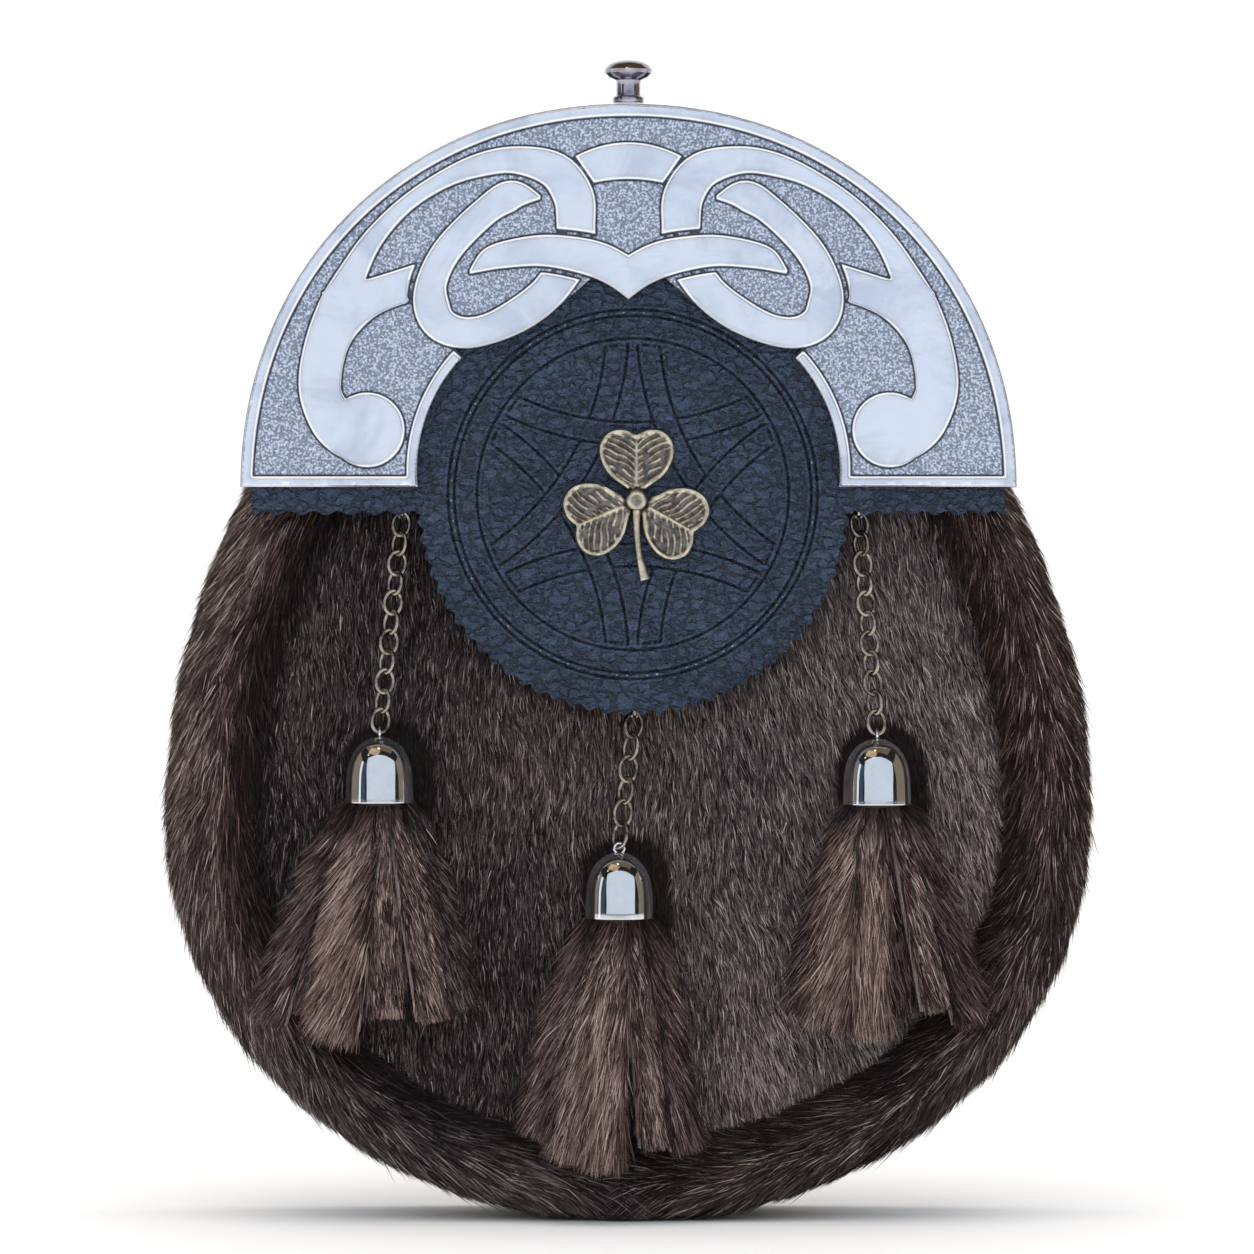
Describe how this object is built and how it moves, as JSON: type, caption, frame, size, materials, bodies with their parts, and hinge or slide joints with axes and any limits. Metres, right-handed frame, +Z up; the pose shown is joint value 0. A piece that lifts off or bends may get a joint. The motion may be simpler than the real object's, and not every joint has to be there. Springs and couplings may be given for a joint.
{
  "type": "sporran pouch",
  "caption": "Fur dress sporran with a tooled leather flap, a cast half-round cantle of knotwork bands, a clover badge and three fur tassels that hang from bells on chains.",
  "frame": {"origin": "middle of the flattened fur under the pouch, in the plane that it stands on", "axes": "+Z up, front towards -Y, +X towards the right of someone who looks at the front"},
  "size_m": [0.1966, 0.068, 0.2421],
  "materials": {
    "pewter": "polished cast metal with dark stippled grounds",
    "nickel": "polished",
    "bronze": "antiqued cast metal",
    "flap_leather": "pebbled and tooled, slightly glossy",
    "back_leather": "smooth, matt",
    "long_fur": "hide with long hair",
    "short_fur": "hide with short hair",
    "tassel_fur": "fur strips"
  },
  "bodies": {
    "root": {"cantle": "pewter", "cantle_knob": "pewter", "flap": "flap_leather", "flap_stud": "nickel", "shamrock_badge": "bronze", "pouch_front": "short_fur", "pouch_gusset": "long_fur", "pouch_back": "back_leather", "belt_loop_left": "back_leather", "belt_loop_right": "back_leather", "chain_eye_left": "nickel", "chain_eye_centre": "nickel", "chain_eye_right": "nickel", "chain_left": "nickel", "chain_centre": "nickel", "chain_right": "nickel", "bell_left": "nickel", "bell_centre": "nickel", "bell_right": "nickel", "tassel_left": "tassel_fur", "tassel_centre": "tassel_fur", "tassel_right": "tassel_fur"}
  },
  "joints": []
}
